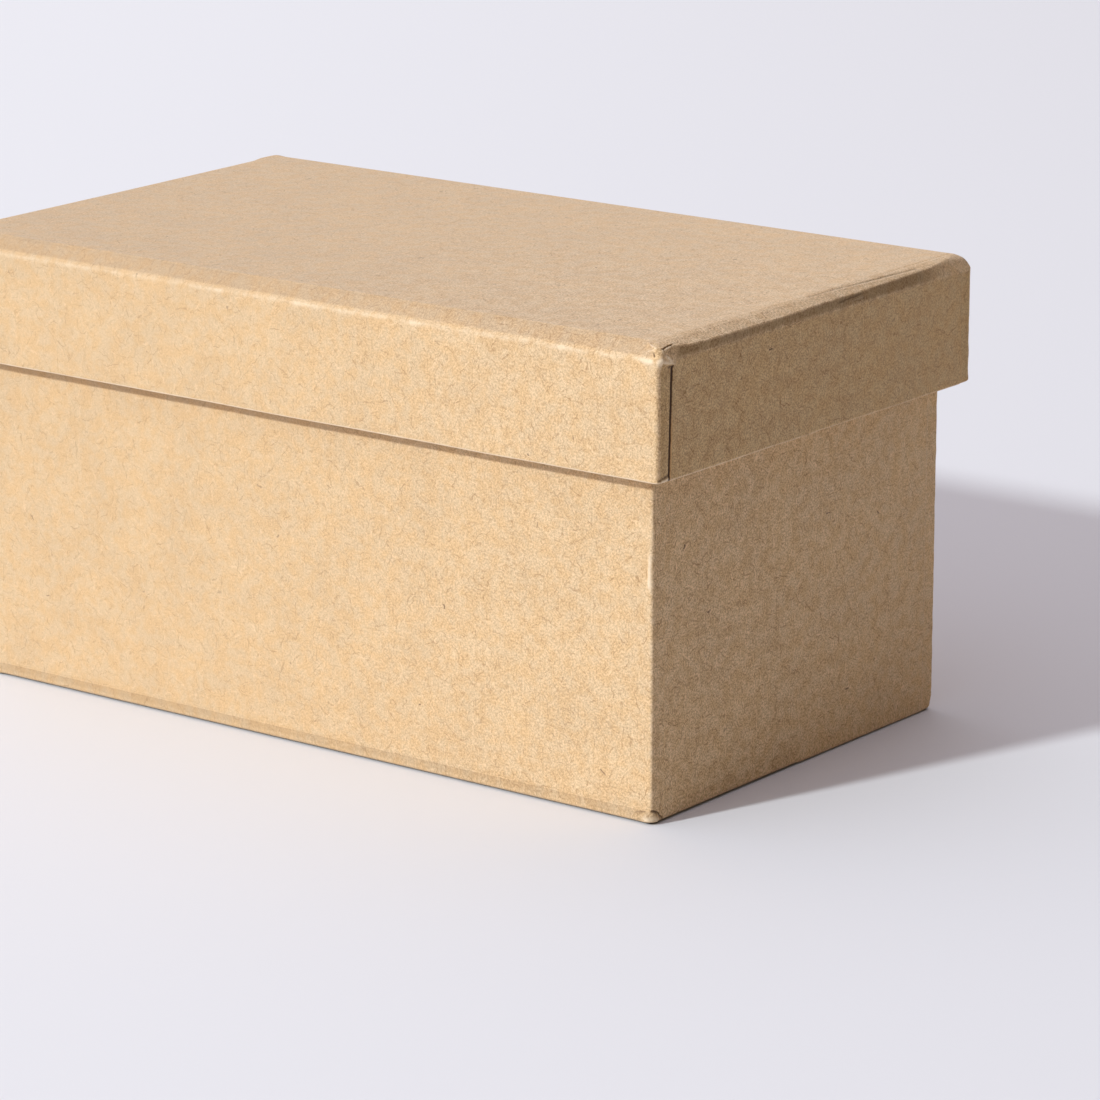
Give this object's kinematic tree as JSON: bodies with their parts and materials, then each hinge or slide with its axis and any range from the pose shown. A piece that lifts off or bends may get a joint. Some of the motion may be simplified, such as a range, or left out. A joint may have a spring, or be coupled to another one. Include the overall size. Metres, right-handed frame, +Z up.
{
  "type": "cardboard box with lift-off lid",
  "caption": "Rectangular rigid cardboard box: a deep folded chipboard tray and a shallow lift-off lid that telescopes over it, both covered in plain kraft paper.",
  "frame": {"origin": "on the table under the middle of the box", "axes": "+X along the box's length, -Y out of its front, +Z up, the way the lid lifts"},
  "size_m": [0.1264, 0.074, 0.0658],
  "materials": {
    "kraft_paper": "matte",
    "chipboard": "matte",
    "gummed_tape": "matte"
  },
  "bodies": {
    "base": {"base_board": "chipboard", "base_wrap": "kraft_paper", "base_corner_stay_back_right": "gummed_tape", "base_corner_stay_back_left": "gummed_tape", "base_corner_stay_front_left": "gummed_tape", "base_corner_stay_front_right": "gummed_tape"},
    "lid": {"lid_board": "chipboard", "lid_wrap": "kraft_paper", "lid_corner_stay_front_right": "gummed_tape", "lid_corner_stay_front_left": "gummed_tape", "lid_corner_stay_back_left": "gummed_tape", "lid_corner_stay_back_right": "gummed_tape"}
  },
  "joints": [
    {"name": "lid_lift", "type": "slide", "parent": "base", "child": "lid", "axis": [0, 0, 1], "range_m": [0, 0.05]}
  ]
}
